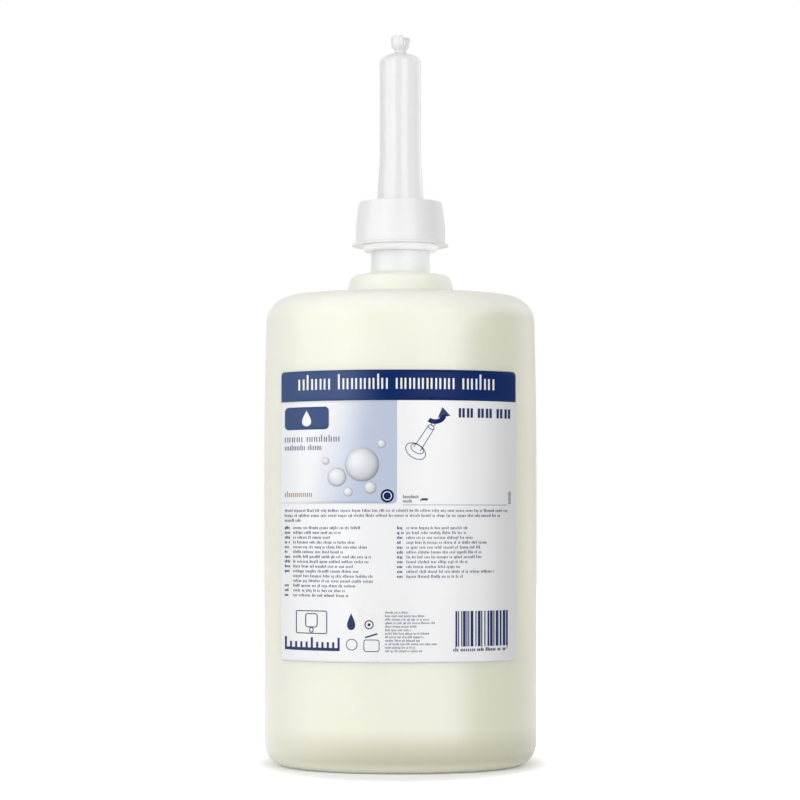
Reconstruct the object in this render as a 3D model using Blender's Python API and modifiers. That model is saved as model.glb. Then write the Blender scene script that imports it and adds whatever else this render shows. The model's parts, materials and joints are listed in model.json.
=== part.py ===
# Hand soap refill: a sealed one litre bottle with a soft squeeze pump on its neck.
# Metres, +Z up. The origin is the middle of the base, and the label faces -Y.
import math

import bmesh
import bpy
import numpy as np

MM = 0.001

# Blown body
BODY_WIDTH = 93.8 * MM
BODY_DEPTH = 91.0 * MM
BODY_EXPONENT = 2.2
SHOULDER_HEIGHT = 160.5 * MM
HEEL_RADIUS = 9.0 * MM
SHOULDER_RADIUS = 9.0 * MM
SIDE_DRAW = 0.72 * MM
DRAW_START = 91.0 * MM
SHOULDER_CROWN = 0.8 * MM
REST_RING_WIDTH = 7.0 * MM
PUSH_UP_HEIGHT = 3.0 * MM

# Dome and neck of the bottle
DOME_FOOT_RADIUS = 18.7 * MM
DOME_TOP_RADIUS = 16.9 * MM
DOME_HEIGHT = 7.4 * MM
DOME_EDGE_RADIUS = 1.6 * MM
NECK_RADIUS = 10.05 * MM
NECK_BORE_RADIUS = 8.6 * MM
NECK_FREE_LENGTH = 7.6 * MM
SUPPORT_RING_RADIUS = 13.0 * MM
SUPPORT_RING_TAPER = 0.7 * MM
SUPPORT_RING_HEIGHT = 2.2 * MM
FINISH_RADIUS = 11.5 * MM
FINISH_HEIGHT = 9.6 * MM
SNAP_BEAD_DEPTH = 1.2 * MM
SNAP_BEAD_HEIGHT = 2.6 * MM
FILL_BELOW_RING = 7.0 * MM

# Collar
COLLAR_RADIUS = 15.45 * MM
COLLAR_TOP_RADIUS = 13.6 * MM
COLLAR_TOP_THICKNESS = 1.6 * MM
COLLAR_EDGE_RADIUS = 1.2 * MM
COLLAR_LIP_REACH = 1.2 * MM
COLLAR_LIP_THICKNESS = 0.5 * MM
COLLAR_LIP_DROOP = 0.4 * MM
COLLAR_HOOK_DEPTH = 1.0 * MM
COLLAR_HOOK_HEIGHT = 1.2 * MM

# Soft pump tube with its twist-off tip
TUBE_RADIUS = 7.15 * MM
TUBE_ROOT_RADIUS = 8.0 * MM
TUBE_WALL = 1.0 * MM
TUBE_FLARE_LENGTH = 17.5 * MM
TUBE_LENGTH = 49.0 * MM
TUBE_CONE_HEIGHT = 2.6 * MM
TUBE_FLANGE_RADIUS = 11.3 * MM
TUBE_FLANGE_THICKNESS = 1.6 * MM
NOZZLE_RADIUS = 0.9 * MM
TIP_NECK_RADIUS = 2.05 * MM
TIP_NECK_LENGTH = 0.6 * MM
KNOB_RADIUS = 3.25 * MM
KNOB_HEIGHT = 5.2 * MM
KNOB_FOOT_HEIGHT = 1.9 * MM
KNOB_STEP_DEPTH = 0.9 * MM
KNOB_STEP_PLACE = 0.9 * MM
KNOB_FLUTES = 8
KNOB_FLUTE_RADIUS = 0.45 * MM

# One-piece valve inside the neck and the tube
VALVE_PLATE_THICKNESS = 1.2 * MM
VALVE_SKIRT_DEPTH = 5.5 * MM
VALVE_SKIRT_WALL = 1.0 * MM
VALVE_STEM_RADIUS = 1.7 * MM
VALVE_LIP_HEIGHT = 3.2 * MM
VALVE_LIP_THICKNESS = 0.6 * MM
INNER_LIP_RISE = 5.0 * MM
OUTER_LIP_BELOW_TIP = 7.0 * MM
VALVE_PORTS = 6
VALVE_PORT_RADIUS = 1.5 * MM
VALVE_PORT_PITCH_RADIUS = 5.1 * MM

# Label film and its two printed fields
LABEL_LEFT = 39.45 * MM
LABEL_RIGHT = 38.55 * MM
LABEL_BOTTOM = 37.1 * MM
LABEL_TOP = 133.4 * MM
LABEL_THICKNESS = 0.15 * MM
LABEL_GAP = 0.2 * MM
BAND_HEIGHT = 10.1 * MM
PANEL_RIGHT = -0.95 * MM
PANEL_HEIGHT = 33.7 * MM
PRINT_GAP = 0.1 * MM
PRINT_THICKNESS = 0.1 * MM
PRINT_MARGIN = 0.3 * MM

SEAT_GAP = 0.3 * MM

# Facets
BODY_COLUMNS = 64
COLLAR_STEPS = 48
TUBE_STEPS = 36
VALVE_STEPS = 32
LABEL_COLUMNS = 36
LABEL_ROWS = 6
ARC_STEPS = 6

# Heights that follow from the sizes above
dome_foot = SHOULDER_HEIGHT + SHOULDER_CROWN
dome_top = dome_foot + DOME_HEIGHT
ring_bottom = dome_top + NECK_FREE_LENGTH
ring_top = ring_bottom + SUPPORT_RING_HEIGHT
rim = ring_top + FINISH_HEIGHT
fill_level = ring_bottom - FILL_BELOW_RING
bead_bottom = ring_top + SEAT_GAP + COLLAR_HOOK_HEIGHT + SEAT_GAP
valve_plate_bottom = rim + SEAT_GAP
tube_flange_bottom = valve_plate_bottom + VALVE_PLATE_THICKNESS + SEAT_GAP
collar_ceiling = tube_flange_bottom + TUBE_FLANGE_THICKNESS + SEAT_GAP
collar_top = collar_ceiling + COLLAR_TOP_THICKNESS
collar_bottom = ring_top + SEAT_GAP
tube_shoulder = collar_top + TUBE_LENGTH
tip_bottom = tube_shoulder + TUBE_CONE_HEIGHT
knob_bottom = tip_bottom + TIP_NECK_LENGTH


def clear_scene():
    for old in list(bpy.data.objects):
        bpy.data.objects.remove(old, do_unlink=True)


def new_collection(name):
    made = bpy.data.collections.new(name)
    bpy.context.scene.collection.children.link(made)
    return made


def material(name, colour, roughness, metallic=0.0, transmission=0.0):
    made = bpy.data.materials.new(name)
    made.use_nodes = True
    shader = made.node_tree.nodes["Principled BSDF"]
    shader.inputs["Base Color"].default_value = (*colour, 1.0)
    shader.inputs["Roughness"].default_value = roughness
    shader.inputs["Metallic"].default_value = metallic
    shader.inputs["Transmission Weight"].default_value = transmission
    made.diffuse_color = (*colour, 1.0)
    return made


def arc(centre, radius, start_deg, end_deg, steps=ARC_STEPS):
    """Points (r, z) on a round corner, from one angle to the other."""
    angles = np.radians(np.linspace(start_deg, end_deg, steps + 1))
    return [(centre[0] + radius * math.cos(a), centre[1] + radius * math.sin(a)) for a in angles]


def turned(name, profile, steps, finish, collection):
    """A revolve of a closed (r, z) outline, given down its outer side first."""
    mesh = bpy.data.meshes.new(name)
    points = [(r, 0.0, z) for r, z in profile]
    on_axis = profile[0][0] == 0.0 and profile[-1][0] == 0.0
    count = len(points)
    edges = [(i, i + 1) for i in range(count - 1)]
    if not on_axis:
        edges.append((count - 1, 0))
    mesh.from_pydata(points, edges, [])
    made = bpy.data.objects.new(name, mesh)
    collection.objects.link(made)
    screw = made.modifiers.new("turn", "SCREW")
    screw.axis = "Z"
    screw.angle = 2 * math.pi
    screw.steps = steps
    screw.render_steps = steps
    screw.use_merge_vertices = True
    screw.merge_threshold = 0.00001
    screw.use_smooth_shade = True
    mesh.materials.append(finish)
    return made


def superellipse(angles, half_width, half_depth, exponent):
    c, s = np.cos(angles), np.sin(angles)
    power = 2 / exponent
    x = half_width * np.sign(c) * np.abs(c) ** power
    y = half_depth * np.sign(s) * np.abs(s) ** power
    return x, y


def side_inset(z):
    """How far the side has drawn in at height z, below the shoulder's corner."""
    share = max(0.0, z - DRAW_START) / (SHOULDER_HEIGHT - SHOULDER_RADIUS - DRAW_START)
    return SIDE_DRAW * share**2


def lofted(name, rows, finish, collection):
    """Skins a stack of (z, half width, half depth, exponent) rows, with a point at each end."""
    angles = np.arange(BODY_COLUMNS) * 2 * math.pi / BODY_COLUMNS
    shape = bmesh.new()
    loops = []
    for z, half_width, half_depth, exponent in rows:
        x, y = superellipse(angles, half_width, half_depth, exponent)
        loops.append([shape.verts.new((px, py, z)) for px, py in zip(x, y)])
    for lower, upper in zip(loops, loops[1:]):
        for i in range(BODY_COLUMNS):
            j = (i + 1) % BODY_COLUMNS
            shape.faces.new((lower[i], lower[j], upper[j], upper[i]))
    first = shape.verts.new((0, 0, rows[0][0]))
    last = shape.verts.new((0, 0, rows[-1][0]))
    for i in range(BODY_COLUMNS):
        j = (i + 1) % BODY_COLUMNS
        shape.faces.new((first, loops[0][j], loops[0][i]))
        shape.faces.new((last, loops[-1][i], loops[-1][j]))
    mesh = bpy.data.meshes.new(name)
    shape.to_mesh(mesh)
    shape.free()
    mesh.materials.append(finish)
    mesh.shade_smooth()
    mesh.set_sharp_from_angle(angle=math.radians(35))
    made = bpy.data.objects.new(name, mesh)
    collection.objects.link(made)
    return made


def body_row(z, inset):
    """One row of the body, its outline drawn in evenly by inset."""
    return (z, BODY_WIDTH / 2 - inset, BODY_DEPTH / 2 - inset, BODY_EXPONENT)


def round_row(z, radius):
    return (z, radius, radius, 2.0)


def base_rows():
    ring_inner = HEEL_RADIUS + REST_RING_WIDTH
    rows = [
        body_row(PUSH_UP_HEIGHT, 2 * ring_inner),
        body_row(0.85 * PUSH_UP_HEIGHT, 1.35 * ring_inner),
        body_row(0.2 * PUSH_UP_HEIGHT, ring_inner + PUSH_UP_HEIGHT / 2),
        body_row(0.0, ring_inner),
    ]
    for r, z in arc((0.0, HEEL_RADIUS), HEEL_RADIUS, -90, 0):
        rows.append(body_row(z, HEEL_RADIUS - r))
    return rows


def side_rows():
    corner = SHOULDER_HEIGHT - SHOULDER_RADIUS
    heights = np.linspace(DRAW_START, corner, 6)
    rows = [body_row(z, side_inset(z)) for z in heights[:-1]]
    for r, z in arc((0.0, corner), SHOULDER_RADIUS, 0, 84, ARC_STEPS + 1):
        rows.append(body_row(z, SIDE_DRAW + SHOULDER_RADIUS - r))
    return rows


def shoulder_rows():
    """The near-flat top, where the soft square section turns round."""
    outer = body_row(SHOULDER_HEIGHT, SIDE_DRAW + SHOULDER_RADIUS)
    inner = round_row(dome_foot, DOME_FOOT_RADIUS + DOME_EDGE_RADIUS)
    rows = []
    for share in np.linspace(0, 1, 5):
        rise = math.sin(share * math.pi / 2)
        z = outer[0] + (inner[0] - outer[0]) * rise
        sizes = [a + (b - a) * share for a, b in zip(outer[1:], inner[1:])]
        rows.append((z, *sizes))
    return rows


def neck_profile():
    """Radius and height up the dome, the neck and its finish, then down the bore."""
    edge = (DOME_TOP_RADIUS - DOME_EDGE_RADIUS, dome_top - DOME_EDGE_RADIUS - 0.5 * MM)
    finish_bore = NECK_BORE_RADIUS + 0.4 * MM
    bead = FINISH_RADIUS + SNAP_BEAD_DEPTH
    return [
        (DOME_FOOT_RADIUS + 0.4 * DOME_EDGE_RADIUS, dome_foot + 0.3 * DOME_EDGE_RADIUS),
        (DOME_FOOT_RADIUS, dome_foot + DOME_EDGE_RADIUS),
        *arc(edge, DOME_EDGE_RADIUS, 15, 82, 4),
        (NECK_RADIUS + 0.5 * MM, dome_top),
        (NECK_RADIUS, dome_top + 0.5 * MM),
        (NECK_RADIUS, ring_bottom - 0.4 * MM),
        (NECK_RADIUS + 0.4 * MM, ring_bottom),
        (SUPPORT_RING_RADIUS - SUPPORT_RING_TAPER, ring_bottom),
        (SUPPORT_RING_RADIUS, ring_top),
        (FINISH_RADIUS, ring_top),
        (FINISH_RADIUS, bead_bottom),
        (bead, bead_bottom + 0.3 * MM),
        (bead, bead_bottom + 0.4 * SNAP_BEAD_HEIGHT),
        (FINISH_RADIUS, bead_bottom + SNAP_BEAD_HEIGHT),
        (FINISH_RADIUS, rim - 0.5 * MM),
        (FINISH_RADIUS - 0.5 * MM, rim),
        (finish_bore, rim),
        (NECK_BORE_RADIUS, rim - 0.8 * MM),
        (NECK_BORE_RADIUS, fill_level),
    ]


def make_bottle(collection):
    rows = base_rows() + side_rows() + shoulder_rows()
    rows += [round_row(z, r) for r, z in neck_profile()]
    finish = material("bottle_blown_film", (0.86, 0.85, 0.74), 0.45)
    return lofted("bottle", rows, finish, collection)


def make_collar(collection):
    outer = collar_bottom + COLLAR_LIP_THICKNESS
    inner = FINISH_RADIUS + SNAP_BEAD_DEPTH + SEAT_GAP
    hook = inner - COLLAR_HOOK_DEPTH
    hook_top = collar_bottom + COLLAR_HOOK_HEIGHT
    lip = COLLAR_RADIUS + COLLAR_LIP_REACH
    hole = TUBE_ROOT_RADIUS + SEAT_GAP
    edge_centre = (COLLAR_TOP_RADIUS - COLLAR_EDGE_RADIUS, collar_top - COLLAR_EDGE_RADIUS)
    height = collar_top - COLLAR_EDGE_RADIUS - outer
    side = []
    for share in (0.2, 0.42, 0.62):
        bulge = (COLLAR_RADIUS - COLLAR_TOP_RADIUS) * math.sin(share / 0.62 * math.pi / 2)
        side.append((COLLAR_TOP_RADIUS + bulge, collar_top - COLLAR_EDGE_RADIUS - share * height))
    profile = [
        (hole, collar_top),
        *arc(edge_centre, COLLAR_EDGE_RADIUS, 90, 8, 4),
        *side,
        (COLLAR_RADIUS, outer + 0.3 * MM),
        (COLLAR_RADIUS + 0.3 * MM, outer),
        (lip, outer - COLLAR_LIP_DROOP + 0.1 * MM),
        (lip, collar_bottom - COLLAR_LIP_DROOP + 0.1 * MM),
        (COLLAR_RADIUS - 0.2 * MM, collar_bottom),
        (hook + 0.4 * MM, collar_bottom),
        (hook, collar_bottom + 0.5 * MM),
        (hook, hook_top),
        (inner, hook_top + 0.3 * MM),
        (inner, collar_ceiling),
        (hole, collar_ceiling),
    ]
    finish = material("collar_white_moulding", (0.93, 0.93, 0.93), 0.35)
    return turned("collar", profile, COLLAR_STEPS, finish, collection)


def tube_outer_radius(z):
    """The tube's outside, which narrows along a soft curve from its root."""
    share = min(1.0, max(0.0, (z - collar_top) / TUBE_FLARE_LENGTH))
    return TUBE_RADIUS + (TUBE_ROOT_RADIUS - TUBE_RADIUS) * (1 + math.cos(math.pi * share)) / 2


def make_pump_tube(collection, cutters):
    flange_top = tube_flange_bottom + TUBE_FLANGE_THICKNESS
    levels = [collar_top + TUBE_FLARE_LENGTH * share for share in (1.0, 0.8, 0.6, 0.4, 0.2, 0.0)]
    knob_top = knob_bottom + KNOB_HEIGHT
    cone_foot = tube_shoulder - TUBE_WALL / 2
    profile = [
        (0.0, knob_top),
        (KNOB_RADIUS - 0.5 * MM, knob_top),
        (KNOB_RADIUS, knob_top - 0.5 * MM),
        (KNOB_RADIUS, knob_bottom + KNOB_FOOT_HEIGHT),
        (TIP_NECK_RADIUS, knob_bottom),
        (TIP_NECK_RADIUS, tip_bottom),
        (0.72 * TUBE_RADIUS, tube_shoulder + 0.62 * TUBE_CONE_HEIGHT),
        (TUBE_RADIUS - 0.5 * MM, tube_shoulder + 0.18 * TUBE_CONE_HEIGHT),
        (TUBE_RADIUS, tube_shoulder - 0.5 * MM),
        *[(tube_outer_radius(z), z) for z in levels],
        (TUBE_ROOT_RADIUS, flange_top + 0.4 * MM),
        (TUBE_ROOT_RADIUS + 0.4 * MM, flange_top),
        (TUBE_FLANGE_RADIUS, flange_top),
        (TUBE_FLANGE_RADIUS, tube_flange_bottom),
        (TUBE_ROOT_RADIUS - TUBE_WALL, tube_flange_bottom),
        *[(tube_outer_radius(z) - TUBE_WALL, z) for z in reversed(levels)],
        (TUBE_RADIUS - TUBE_WALL, cone_foot - TUBE_WALL / 2),
        (0.7 * TUBE_RADIUS - TUBE_WALL, cone_foot + 0.45 * TUBE_CONE_HEIGHT),
        (NOZZLE_RADIUS, cone_foot + 0.75 * TUBE_CONE_HEIGHT),
        (NOZZLE_RADIUS, tip_bottom - TIP_NECK_LENGTH / 2),
        (0.0, tip_bottom - TIP_NECK_LENGTH / 2),
    ]
    finish = material("pump_tube_soft_clear", (0.88, 0.88, 0.89), 0.3, transmission=0.3)
    tube = turned("pump_tube", profile, TUBE_STEPS, finish, collection)
    cut_knob(tube, knob_top, cutters)
    return tube


def cut_knob(tube, knob_top, cutters):
    """Steps one side of the knob's top down, and flutes its rim for the fingers."""
    reach = 2 * KNOB_RADIUS
    bpy.ops.mesh.primitive_cube_add(size=1.0)
    step = bpy.context.active_object
    step.name = "knob_step_cutter"
    step.scale = (reach, reach, reach)
    step.location = (KNOB_STEP_PLACE + reach / 2, 0.0, knob_top - KNOB_STEP_DEPTH + reach / 2)
    add_cut(tube, step, cutters)
    for index in range(KNOB_FLUTES):
        angle = (index + 0.5) * 2 * math.pi / KNOB_FLUTES
        place = KNOB_RADIUS + 0.35 * KNOB_FLUTE_RADIUS
        bpy.ops.mesh.primitive_cylinder_add(vertices=8, radius=KNOB_FLUTE_RADIUS, depth=KNOB_HEIGHT)
        flute = bpy.context.active_object
        flute.name = f"knob_flute_cutter_{index}"
        middle = knob_bottom + KNOB_FOOT_HEIGHT * 0.8 + KNOB_HEIGHT / 2
        flute.location = (place * math.cos(angle), place * math.sin(angle), middle)
        add_cut(tube, flute, cutters)


def add_cut(target, cutter, cutters):
    for home in list(cutter.users_collection):
        home.objects.unlink(cutter)
    cutters.objects.link(cutter)
    cutter.hide_render = True
    cutter.display_type = "WIRE"
    cut = target.modifiers.new(f"cut_{cutter.name}", "BOOLEAN")
    cut.operation = "DIFFERENCE"
    cut.object = cutter
    cut.solver = "EXACT"


def valve_lip(z, reach):
    """The outline of one thin lip that opens upwards from the stem, outer side first."""
    return [
        (reach, z + VALVE_LIP_HEIGHT),
        (VALVE_STEM_RADIUS + 0.6 * MM, z),
        (VALVE_STEM_RADIUS, z - 0.6 * MM),
    ]


def make_valve(collection, cutters):
    plate_top = valve_plate_bottom + VALVE_PLATE_THICKNESS
    skirt = NECK_BORE_RADIUS - SEAT_GAP
    skirt_bottom = rim - VALVE_SKIRT_DEPTH
    inner_lip = plate_top + INNER_LIP_RISE
    outer_lip = tube_shoulder - OUTER_LIP_BELOW_TIP
    inner_reach = tube_outer_radius(inner_lip + VALVE_LIP_HEIGHT) - TUBE_WALL - SEAT_GAP
    outer_reach = tube_outer_radius(outer_lip + VALVE_LIP_HEIGHT) - TUBE_WALL - SEAT_GAP
    profile = [(0.0, outer_lip + VALVE_LIP_HEIGHT)]
    for z, reach in ((outer_lip, outer_reach), (inner_lip, inner_reach)):
        profile += [
            (VALVE_STEM_RADIUS, z + VALVE_LIP_HEIGHT),
            (VALVE_STEM_RADIUS, z + 2 * VALVE_LIP_THICKNESS),
            (reach - VALVE_LIP_THICKNESS, z + VALVE_LIP_HEIGHT),
            *valve_lip(z, reach),
        ]
    profile += [
        (VALVE_STEM_RADIUS, plate_top + 0.6 * MM),
        (VALVE_STEM_RADIUS + 0.6 * MM, plate_top),
        (TUBE_FLANGE_RADIUS, plate_top),
        (TUBE_FLANGE_RADIUS, valve_plate_bottom),
        (skirt + 0.2 * MM, valve_plate_bottom),
        (skirt, valve_plate_bottom - 1.4 * MM),
        (skirt, skirt_bottom),
        (skirt - VALVE_SKIRT_WALL, skirt_bottom),
        (skirt - VALVE_SKIRT_WALL, valve_plate_bottom),
        (0.0, valve_plate_bottom),
    ]
    finish = material("valve_natural_plastic", (0.85, 0.86, 0.87), 0.4)
    valve = turned("valve_stem", profile, VALVE_STEPS, finish, collection)
    for index in range(VALVE_PORTS):
        angle = index * 2 * math.pi / VALVE_PORTS
        depth = 3 * VALVE_PLATE_THICKNESS
        bpy.ops.mesh.primitive_cylinder_add(vertices=12, radius=VALVE_PORT_RADIUS, depth=depth)
        port = bpy.context.active_object
        port.name = f"valve_port_cutter_{index}"
        reach = VALVE_PORT_PITCH_RADIUS
        middle = valve_plate_bottom + VALVE_PLATE_THICKNESS / 2
        port.location = (reach * math.cos(angle), reach * math.sin(angle), middle)
        add_cut(valve, port, cutters)
    return valve


def front_angle(x, half_width):
    """The section's angle at which its front side passes x."""
    share = min(1.0, abs(x) / half_width) ** (BODY_EXPONENT / 2)
    return -math.pi / 2 + math.copysign(math.asin(share), x)


def film(name, left, right, bottom, top, lift, thickness, finish, collection):
    """A sheet that follows the front of the body, lift off it, from left to right."""
    across = np.linspace(
        front_angle(left, BODY_WIDTH / 2), front_angle(right, BODY_WIDTH / 2), LABEL_COLUMNS + 1
    )
    shape = bmesh.new()
    sheets = []
    for outward in (lift, lift + thickness):
        sheet = []
        for z in np.linspace(bottom, top, LABEL_ROWS + 1):
            grow = outward - side_inset(z)
            half_width = BODY_WIDTH / 2 + grow
            x, y = superellipse(across, half_width, BODY_DEPTH / 2 + grow, BODY_EXPONENT)
            sheet.append([shape.verts.new((px, py, z)) for px, py in zip(x, y)])
        sheets.append(sheet)
    inner, outer = sheets
    for j in range(LABEL_ROWS):
        for i in range(LABEL_COLUMNS):
            shape.faces.new((outer[j][i], outer[j][i + 1], outer[j + 1][i + 1], outer[j + 1][i]))
            shape.faces.new((inner[j][i], inner[j + 1][i], inner[j + 1][i + 1], inner[j][i + 1]))
    for i in range(LABEL_COLUMNS):
        shape.faces.new((inner[0][i], inner[0][i + 1], outer[0][i + 1], outer[0][i]))
        shape.faces.new((outer[-1][i], outer[-1][i + 1], inner[-1][i + 1], inner[-1][i]))
    for j in range(LABEL_ROWS):
        shape.faces.new((outer[j][0], outer[j + 1][0], inner[j + 1][0], inner[j][0]))
        shape.faces.new((inner[j][-1], inner[j + 1][-1], outer[j + 1][-1], outer[j][-1]))
    mesh = bpy.data.meshes.new(name)
    shape.to_mesh(mesh)
    shape.free()
    mesh.materials.append(finish)
    made = bpy.data.objects.new(name, mesh)
    collection.objects.link(made)
    return made


def make_label(collection):
    white = material("label_white_film", (0.93, 0.93, 0.94), 0.35)
    navy = material("print_navy", (0.03, 0.06, 0.20), 0.35)
    pale = material("print_pale_blue", (0.72, 0.78, 0.88), 0.35)
    band_bottom = LABEL_TOP - BAND_HEIGHT
    panel_bottom = band_bottom - PANEL_HEIGHT
    left, right = -LABEL_LEFT, LABEL_RIGHT
    film("label", left, right, LABEL_BOTTOM, LABEL_TOP, LABEL_GAP, LABEL_THICKNESS, white, collection)
    lift = LABEL_GAP + LABEL_THICKNESS + PRINT_GAP
    ink = PRINT_THICKNESS
    film("name_band", left, right, band_bottom, LABEL_TOP, lift, ink, navy, collection)
    panel_top = band_bottom - PRINT_MARGIN
    film("picture_panel", left, PANEL_RIGHT, panel_bottom, panel_top, lift, ink, pale, collection)


def build():
    clear_scene()
    parts = new_collection("hand_soap_refill")
    cutters = new_collection("cutters")
    cutters.hide_render = True
    make_bottle(parts)
    make_collar(parts)
    make_pump_tube(parts, cutters)
    make_valve(parts, cutters)
    make_label(parts)


build()
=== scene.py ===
import json
import math

import bpy
import numpy as np
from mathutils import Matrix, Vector

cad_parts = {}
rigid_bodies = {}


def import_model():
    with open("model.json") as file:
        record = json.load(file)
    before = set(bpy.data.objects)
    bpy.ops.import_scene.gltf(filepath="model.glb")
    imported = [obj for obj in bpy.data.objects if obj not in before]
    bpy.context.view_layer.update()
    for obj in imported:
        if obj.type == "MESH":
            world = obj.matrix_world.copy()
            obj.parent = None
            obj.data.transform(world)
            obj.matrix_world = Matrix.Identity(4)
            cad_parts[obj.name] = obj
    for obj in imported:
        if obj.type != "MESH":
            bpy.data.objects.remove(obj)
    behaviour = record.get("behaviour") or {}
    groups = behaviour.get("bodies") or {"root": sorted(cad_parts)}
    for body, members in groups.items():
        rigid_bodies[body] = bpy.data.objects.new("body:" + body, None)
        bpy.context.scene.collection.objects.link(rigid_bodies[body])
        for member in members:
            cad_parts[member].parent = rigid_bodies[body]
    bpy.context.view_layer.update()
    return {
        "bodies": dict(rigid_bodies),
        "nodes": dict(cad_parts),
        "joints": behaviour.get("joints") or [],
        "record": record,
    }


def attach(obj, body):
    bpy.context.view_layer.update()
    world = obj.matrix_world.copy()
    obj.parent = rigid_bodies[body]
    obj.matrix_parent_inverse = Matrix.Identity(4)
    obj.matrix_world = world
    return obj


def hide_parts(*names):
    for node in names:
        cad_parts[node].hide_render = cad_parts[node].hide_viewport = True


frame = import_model()
mm = 0.001
rootBody = "root"

# The blown body, the same section and heights as the solid that it stands for
bottleForm = {
    "halfWidth": 46.9 * mm,
    "halfDepth": 45.5 * mm,
    "exponent": 2.2,
    "shoulder": 160.5 * mm,
    "corner": 9.0 * mm,
    "heel": 7.6 * mm,
    "draw": 0.72 * mm,
    "drawStart": 91.0 * mm,
    "crown": 0.8 * mm,
    "restRing": 7.0 * mm,
    "pushUp": 3.0 * mm,
    "dishReach": 0.985,  # how far out the push-up's dish starts, as a share of the half depth
    "dishPower": 2.6,
    "lastAngle": 84,  # where the shoulder's arc ends and the crown takes over, in degrees
    "columns": 288,
    "seamProud": 0.05 * mm,  # the mould's parting line, down both sides
    "seamWidth": 0.45 * mm,
    "seamFoot": 0.5 * mm,
    "seamInner": 9.0 * mm,  # the seam fades inside this distance from the middle
}

neckForm = {
    "domeFoot": 18.7 * mm,
    "domeTop": 16.9 * mm,
    "domeHeight": 7.4 * mm,
    "domeEdge": 1.6 * mm,
    "neck": 10.05 * mm,
    "bore": 8.6 * mm,
    "freeLength": 7.6 * mm,
    "ring": 13.0 * mm,
    "ringTaper": 0.7 * mm,
    "ringHeight": 2.2 * mm,
    "finish": 11.5 * mm,
    "finishHeight": 9.6 * mm,
    "fillDrop": 7.0 * mm,
    "step": 0.1 * mm,
    "domeLip": 0.75 * mm,
    "floorHole": 0.2 * mm,
    "rounds": (1.5, 1.7, 0.7, 0.5, 0.3, 0.2, 0.2, 0.4, 0.3, 0.5),  # mm, at each inner corner of the outline
}

domeFootZ = bottleForm["shoulder"] + bottleForm["crown"]
domeTopZ = domeFootZ + neckForm["domeHeight"]
ringBottomZ = domeTopZ + neckForm["freeLength"]
ringTopZ = ringBottomZ + neckForm["ringHeight"]
rimZ = ringTopZ + neckForm["finishHeight"]


def meshObject(name, points, faces, material=None):
    # A mesh of points and faces as an object in the scene.
    mesh = bpy.data.meshes.new(name)
    mesh.from_pydata(points.tolist(), [], faces)
    mesh.update()
    if material:
        mesh.materials.append(material)
    made = bpy.data.objects.new(name, mesh)
    bpy.context.scene.collection.objects.link(made)
    return made


def gridMesh(name, points, wrap=False, poles=(False, False), material=None):
    # A grid of points (rows, columns, 3) skinned with quads; a pole closes an end row with a fan.
    rows, columns = points.shape[:2]
    index = np.arange(rows * columns).reshape(rows, columns)
    left = index if wrap else index[:, :-1]
    right = np.roll(index, -1, axis=1) if wrap else index[:, 1:]
    quads = np.stack([left[:-1], right[:-1], right[1:], left[1:]], axis=-1).reshape(-1, 4)
    vertices = [points.reshape(-1, 3)]
    faces = quads.tolist()
    count = rows * columns
    for atEnd, row, closed in ((False, 0, poles[0]), (True, rows - 1, poles[1])):
        if not closed:
            continue
        vertices.append(points[row].mean(axis=0, keepdims=True))
        ring = index[row]
        following = np.roll(ring, -1)
        fan = (ring, following) if atEnd else (following, ring)
        faces += np.stack([*fan, np.full(columns, count)], axis=-1).tolist()
        count += 1
    made = meshObject(name, np.concatenate(vertices), faces, material)
    made.data.shade_smooth()
    return made


def arcPoints(centre, radius, startDeg, endDeg, steps):
    # Points (r, z) along a circle's arc between two angles.
    angles = np.radians(np.linspace(startDeg, endDeg, steps + 1))
    return np.stack([centre[0] + radius * np.cos(angles), centre[1] + radius * np.sin(angles)], axis=-1)


def roundedProfile(points, radii, steps=5):
    # Each inner corner of an (r, z) outline is replaced by a short quadratic curve of its own radius.
    points = np.asarray(points, float)
    out = [points[:1]]
    share = np.linspace(0, 1, steps + 1)[:, None]
    for before, corner, after, radius in zip(points, points[1:], points[2:], radii):
        legA, legB = before - corner, after - corner
        lengthA, lengthB = np.linalg.norm(legA), np.linalg.norm(legB)
        reachA, reachB = min(radius, 0.49 * lengthA), min(radius, 0.49 * lengthB)
        start, end = corner + legA / lengthA * reachA, corner + legB / lengthB * reachB
        out.append((1 - share) ** 2 * start + 2 * share * (1 - share) * corner + share**2 * end)
    out.append(points[-1:])
    return np.concatenate(out)


def turnedGrid(profile, columns):
    # The outline (r, z) carried once round the Z axis.
    profile = np.asarray(profile, float)
    around = np.arange(columns) * 2 * np.pi / columns
    r = profile[:, 0][:, None]
    z = np.repeat(profile[:, 1][:, None], columns, axis=1)
    return np.stack([r * np.cos(around), r * np.sin(around), z], axis=-1)


def sideInset(z):
    # How far the body's side has drawn in at height z: the square of its share of the way to the shoulder.
    form = bottleForm
    top = form["shoulder"] - form["corner"]
    share = np.clip((z - form["drawStart"]) / (top - form["drawStart"]), 0, None)
    return form["draw"] * share**2


def frontPoint(x, z, lift):
    # The point of the body's front at x and z, lift off its surface: y from the section's superellipse.
    form = bottleForm
    grow = lift - sideInset(z)
    a, b, n = form["halfWidth"] + grow, form["halfDepth"] + grow, form["exponent"]
    y = -b * np.clip(1 - (np.abs(x) / a) ** n, 0, 1) ** (1 / n)
    return np.stack(np.broadcast_arrays(x, y, z), axis=-1)


# Shader nodes, and groups that several materials share

def addNode(tree, kind, inputs=(), **settings):
    # A shader node with its settings; each input takes a plain value or another node's socket.
    made = tree.nodes.new("ShaderNode" + kind)
    for key, value in settings.items():
        setattr(made, key, value)
    for key, value in dict(inputs).items():
        if isinstance(value, bpy.types.NodeSocket):
            tree.links.new(value, made.inputs[key])
        else:
            made.inputs[key].default_value = value
    return made


def objectPlace(tree):
    return addNode(tree, "TexCoord").outputs["Object"]


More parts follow.
